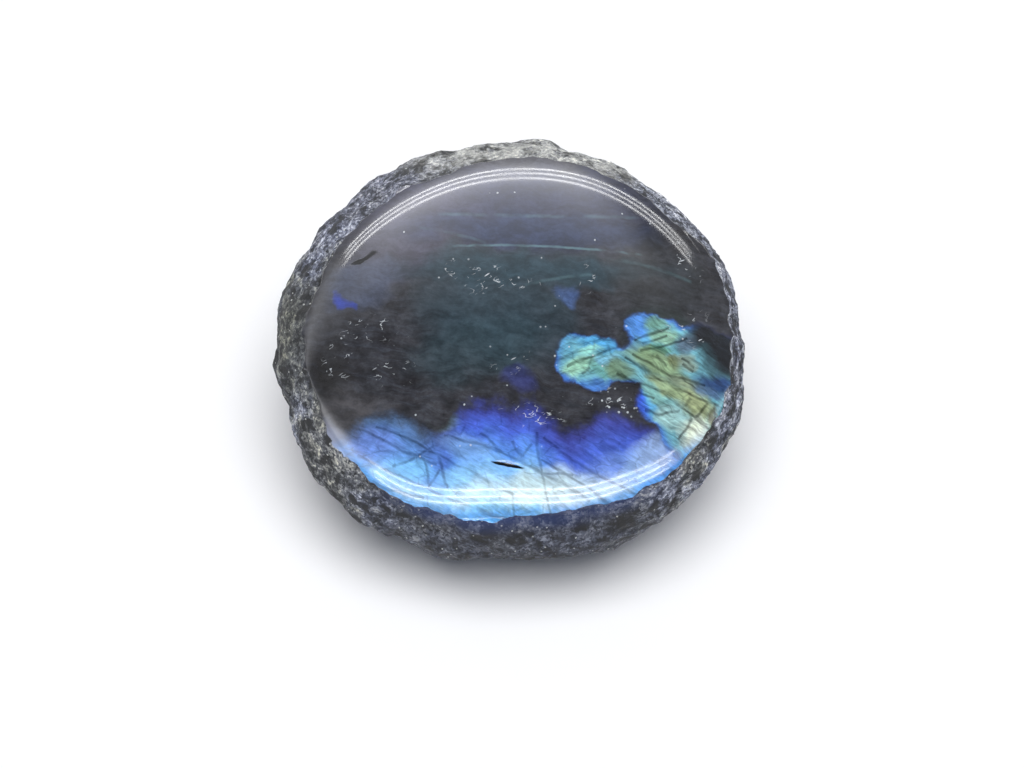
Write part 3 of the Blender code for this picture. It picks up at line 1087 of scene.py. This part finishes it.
def flecks(size, radius, picked, stretch=(1, 1), turn=0.0):
    """Small bright cores of the Voronoi cells whose random value is over a level."""
    made = cells_at(stretched(wobbly, turn, (stretch[0] * size, stretch[1] * size)), 1.0)
    spots = remap(tree, made.outputs["Distance"], radius, radius * 0.5)
    return times(spots, remap(tree, random_of(made)[1], picked, picked + 0.02))


clusters = 0.0
for middle, half, turn in FLECK_CLUSTERS:
    clusters = higher(patch(wavy_places, middle, half, turn, 0.1), clusters)
dots = times(flecks(1.7, 0.13, 0.78), 0.75)
crowd = times(flecks(0.8, 0.30, 0.45), patch(wavy_places, (17.6, -11.0), (4.6, 2.9), -25, 0.5))
needles = times(flecks(2.2, 0.17, 0.76, (1.8, 0.34), 28), clusters)
needles_down = times(flecks(2.2, 0.17, 0.82, (1.8, 0.34), 72), clusters)
wisp_noise = noise_at(stretched(wobbly, 15, (2.6, 1.4)), 1.0, 2.0)
wisp_field = maths(tree, "ABSOLUTE", maths(tree, "SUBTRACT", wisp_noise, 0.5))
wisp_parts = remap(tree, noise_at(face, 1.5, 1.0), 0.55, 0.62)
wisps = times(times(remap(tree, wisp_field, 0.016, 0.004), wisp_parts), clusters)
white = higher(higher(dots, crowd), higher(higher(needles, needles_down), wisps))
inside = remap(tree, reach, -0.5, -3.0)
white = times(times(white, inside), FLECK_SHARE)
polished_colour = mix(tree, white, polished_colour, srgb(206, 212, 216))
slit_dark = patch(wobbly_places, SLIT_PATTERN_MIDDLE, SLIT_PATTERN_HALF, SLIT_TURN, 0.7)
polished_colour = mix(tree, slit_dark, polished_colour, srgb(8, 12, 20))
pit_dark = patch(ragged_places, PIT_PATTERN_MIDDLE, PIT_PATTERN_HALF, 22, 0.4)
polished_colour = mix(tree, times(pit_dark, 0.95), polished_colour, srgb(10, 10, 9))
print(len(FLECK_CLUSTERS), "clusters of flecks")

# %% [markdown]
# ## The colours of the broken skin
#
# On its sides the stone is as it broke: a crust of grains under half a millimetre, some nearly black
# and some pale. Its tone differs from side to side: bluish grey at the upper left, olive with cream
# grains at the lower left, and deep blue just under the flash. Cream along the top is partly paler
# stone and partly painted light, where that side faces the lamps, and the darker tone below is
# painted shade, where the wall faces away from them.

# %% Grains of the broken skin
GRAIN, FACET = 0.42, 2.6
GRAIN_CONTRAST, FACET_CONTRAST = 0.24, 0.15
grain_cells = cells_at(stirred(face, 0.5, 0.15), 1 / GRAIN)
grain_random = random_of(grain_cells)[0]
facet_tone = random_of(cells_at(stirred(face, 1.5, 0.9, 4.0), 1 / FACET))[0]
blotches = noise_at(face, 2.6, 8.0, 0.74)
hollow_shade = noise_at(stirred(face, 2.0, 0.8), 2.6, 2.0)
grain_part = maths(tree, "SUBTRACT", grain_random, 0.5)
grain_tone = maths(tree, "MULTIPLY_ADD", grain_part, GRAIN_CONTRAST, blotches)
facet_part = maths(tree, "SUBTRACT", facet_tone, 0.5)
grain_tone = maths(tree, "MULTIPLY_ADD", facet_part, FACET_CONTRAST, grain_tone)
# Where the hollows noise is low the grains are darkened: painted shade of small pits.
grain_tone = maths(tree, "ADD", grain_tone, remap(tree, hollow_shade, 0.46, 0.30, 0.0, -0.30))
grain_colour = ramp(
    tree, grain_tone,
    (0.28, srgb(14, 16, 20)), (0.41, srgb(42, 45, 52)), (0.51, srgb(82, 85, 94)),
    (0.62, srgb(134, 137, 144)), (0.74, srgb(208, 209, 208)),
)
print("grains of", GRAIN, "mm")

# %% Tones of the sides, with painted light at the top and painted shade below
SKIN_BRIGHTNESS = 2.35
GLINT = 0.7
WEATHERING_AND_TOP_LIGHT_SHARE, GLINT_SHARE, UNDER_FLASH_SHARE = 0.62, 0.85, 0.42
# The cream patch at (4, 36) is partly paler stone and partly painted light; the dark patch at (4, -36)
# is painted shade.
SIDE_TONES_LIGHT_AND_SHADE = (
    ((-38, 2), (8, 14), 0, srgb(112, 112, 98), 0.8),
    ((-32, -20), (9, 12), -40, srgb(180, 177, 162), 0.7),
    ((-24, 28), (22, 8), 35, srgb(200, 200, 210), 0.6),
    ((30, 24), (13, 15), 0, srgb(232, 233, 236), 0.75),
    ((4, 36), (26, 9), 0, srgb(255, 252, 240), 0.95),
    ((36, 6), (8, 24), 0, srgb(208, 210, 220), 0.6),
    ((4, -36), (44, 13), 0, srgb(82, 86, 98), 0.85),
)
warm_or_cool = remap(tree, noise_at(face, 6.0, 4.0, 0.6), 0.38, 0.62)
tint = mix(tree, warm_or_cool, srgb(186, 183, 168), srgb(184, 187, 198))
tint = painted(tint, SIDE_TONES_LIGHT_AND_SHADE, wavy_places, 0.35)
skin_colour = mix(tree, 1.0, grain_colour, tint, "MULTIPLY")
skin_colour = brighter(skin_colour, SKIN_BRIGHTNESS)
# A pale veil along the top is partly paler weathered stone and partly painted light, on the side that
# faces the lamps.
weathering_and_top_light = times(patch(wavy_places, (6, 36), (34, 10), 0, 0.1), remap(tree, blotches, 0.34, 0.60))
weathering_and_top_light = times(weathering_and_top_light, remap(tree, reach, 12, 3))
skin_colour = mix(tree, times(weathering_and_top_light, WEATHERING_AND_TOP_LIGHT_SHARE), skin_colour, srgb(206, 206, 198))
glints = cells_at(face, 1 / GLINT)
glint_picked = random_of(glints)[1]
glint_spots = remap(tree, glints.outputs["Distance"], 0.30, 0.16)
glint = times(glint_spots, remap(tree, glint_picked, 0.90, 0.93))
skin_colour = mix(tree, times(glint, GLINT_SHARE), skin_colour, srgb(206, 208, 204))
under_flash = times(remap(tree, reach, 3.2, 0.0), patch(flat_places, (2, -32), (32, 14), 0, 0.6))
skin_colour = mix(tree, times(under_flash, UNDER_FLASH_SHARE), skin_colour, srgb(34, 62, 124))
print(len(SIDE_TONES_LIGHT_AND_SHADE), "sides toned")

# %% [markdown]
# ## One finish from both
#
# The polish ends where the broken skin dips below it. The mesh knows how far each point stands past
# that boundary, and a little noise lets single grains break out of the polish.

# %% Joining polish and skin
CRUMBLING = 0.30
POLISHED_ROUGHNESS, SKIN_ROUGHER = (0.10, 0.14), 0.75
BUMP_STRENGTH, GRAIN_BUMP, BLOTCH_BUMP = 0.8, -0.10, 0.30
crumbling = maths(tree, "MULTIPLY_ADD", noise_at(face, 0.5, 2.0), CRUMBLING, -CRUMBLING / 2)
skin_share = remap(tree, maths(tree, "ADD", broken, crumbling), -0.05, 0.06)
feed(tree, shader.inputs["Base Color"], mix(tree, skin_share, polished_colour, skin_colour))
smears = remap(tree, noise_at(face, 9.0, 3.0), 0.35, 0.7, *POLISHED_ROUGHNESS)
unpolished = times(higher(skin_share, pit_dark), SKIN_ROUGHER)
feed(tree, shader.inputs["Roughness"], maths(tree, "ADD", smears, unpolished))
grain_rise = times(grain_cells.outputs["Distance"], GRAIN_BUMP)
grain_height = maths(tree, "ADD", grain_rise, times(blotches, BLOTCH_BUMP))
bump = node(tree, "ShaderNodeBump")
bump.inputs["Distance"].default_value = MM
feed(tree, bump.inputs["Strength"], times(skin_share, BUMP_STRENGTH))
feed(tree, bump.inputs["Height"], grain_height)
feed(tree, shader.inputs["Normal"], bump.outputs[0])
stone.data.materials.append(finish)
print(len(tree.nodes), "nodes in the finish")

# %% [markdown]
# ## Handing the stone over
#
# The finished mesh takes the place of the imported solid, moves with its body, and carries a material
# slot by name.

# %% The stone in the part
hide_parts("stone")
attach(stone, "root")
print(stone.name, "rides on the root")
